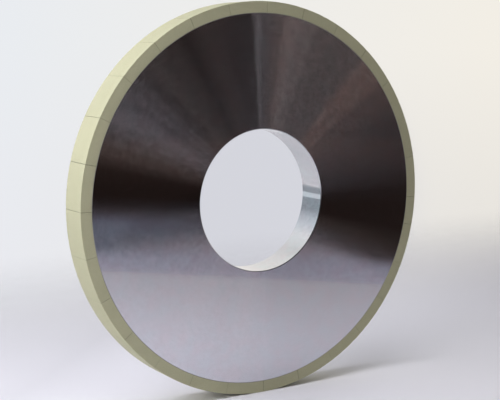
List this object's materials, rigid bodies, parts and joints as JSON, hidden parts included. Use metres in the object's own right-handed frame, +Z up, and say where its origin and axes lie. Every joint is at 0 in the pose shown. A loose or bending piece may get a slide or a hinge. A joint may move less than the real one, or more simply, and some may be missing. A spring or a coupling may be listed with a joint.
{
  "type": "grinding wheel",
  "caption": "Straight diamond grinding wheel for cutting on its rim: a turned metal disc with a large plain bore and a ring of glued ceramic-bonded abrasive segments.",
  "frame": {"origin": "centre of the wheel, on its axis and halfway through its width", "axes": "+Y along the wheel's axis, from the front face to the back face, +Z up with the wheel standing on its rim, +X to the right seen from in front"},
  "size_m": [0.35, 0.03, 0.35],
  "materials": {
    "core_metal": "turned",
    "abrasive": "ground",
    "glue": "satin"
  },
  "bodies": {
    "root": {"core_body": "core_metal", "rim_bond_line": "glue", "abrasive_segment_01": "abrasive", "abrasive_segment_02": "abrasive", "abrasive_segment_03": "abrasive", "abrasive_segment_04": "abrasive", "abrasive_segment_05": "abrasive", "abrasive_segment_06": "abrasive", "abrasive_segment_07": "abrasive", "abrasive_segment_08": "abrasive", "abrasive_segment_09": "abrasive", "abrasive_segment_10": "abrasive", "abrasive_segment_11": "abrasive", "abrasive_segment_12": "abrasive", "abrasive_segment_13": "abrasive", "abrasive_segment_14": "abrasive", "abrasive_segment_15": "abrasive", "abrasive_segment_16": "abrasive", "abrasive_segment_17": "abrasive", "abrasive_segment_18": "abrasive", "abrasive_segment_19": "abrasive", "abrasive_segment_20": "abrasive", "abrasive_segment_21": "abrasive", "abrasive_segment_22": "abrasive", "abrasive_segment_23": "abrasive", "abrasive_segment_24": "abrasive", "abrasive_segment_25": "abrasive", "abrasive_segment_26": "abrasive", "abrasive_segment_27": "abrasive", "abrasive_segment_28": "abrasive", "joint_bond_line_01": "glue", "joint_bond_line_02": "glue", "joint_bond_line_03": "glue", "joint_bond_line_04": "glue", "joint_bond_line_05": "glue", "joint_bond_line_06": "glue", "joint_bond_line_07": "glue", "joint_bond_line_08": "glue", "joint_bond_line_09": "glue", "joint_bond_line_10": "glue", "joint_bond_line_11": "glue", "joint_bond_line_12": "glue", "joint_bond_line_13": "glue", "joint_bond_line_14": "glue", "joint_bond_line_15": "glue", "joint_bond_line_16": "glue", "joint_bond_line_17": "glue", "joint_bond_line_18": "glue", "joint_bond_line_19": "glue", "joint_bond_line_20": "glue", "joint_bond_line_21": "glue", "joint_bond_line_22": "glue", "joint_bond_line_23": "glue", "joint_bond_line_24": "glue", "joint_bond_line_25": "glue", "joint_bond_line_26": "glue", "joint_bond_line_27": "glue", "joint_bond_line_28": "glue"}
  },
  "joints": []
}
